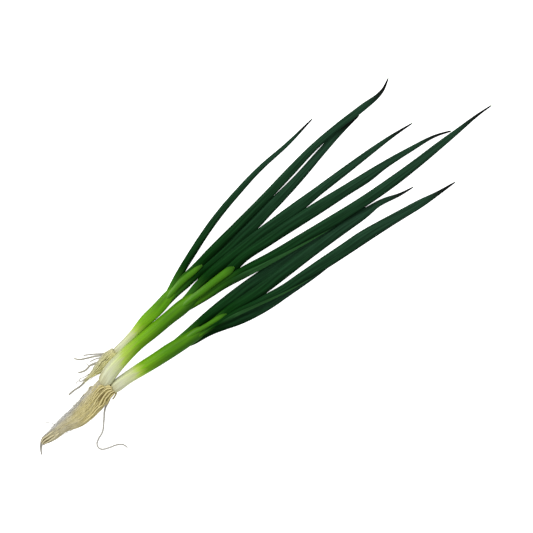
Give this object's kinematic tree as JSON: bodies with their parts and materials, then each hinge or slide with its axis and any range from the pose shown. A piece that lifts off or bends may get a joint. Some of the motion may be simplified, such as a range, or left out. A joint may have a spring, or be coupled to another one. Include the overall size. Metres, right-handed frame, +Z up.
{
  "type": "spring onion bunch",
  "caption": "Bunch of spring onions laid flat: white shanks turning green, dark tubular leaves fanned to pointed tips, and tufts of fine tan roots.",
  "frame": {"origin": "centre of the bounding box in plan, on the surface the bunch lies on", "axes": "+X along the bunch from the roots to the leaf tips, +Y to the left of that, +Z up from the surface it lies on"},
  "size_m": [0.4007, 0.1035, 0.0112],
  "materials": {
    "shank": "smooth skin with a slight gloss, creamy white at the base turning yellow-green and then green",
    "sheath": "smooth light green skin with a slight gloss and fine lengthwise ribs",
    "leaf": "dark blue-green waxy skin with fine lengthwise lines",
    "root": "dull tan fibrous roots"
  },
  "bodies": {
    "root": {"shank_left": "shank", "shank_middle": "shank", "shank_right": "shank", "inner_sheath_left": "sheath", "inner_sheath_middle": "sheath", "inner_sheath_right": "sheath", "leaf_left_outer": "leaf", "leaf_left_middle": "leaf", "leaf_left_inner": "leaf", "leaf_middle_left": "leaf", "leaf_middle_inner": "leaf", "leaf_middle_right": "leaf", "leaf_right_left": "leaf", "leaf_right_middle": "leaf", "leaf_right_outer": "leaf", "leaf_right_under": "leaf", "root_tuft_left": "root", "root_tangle_middle_right": "root"}
  },
  "joints": []
}
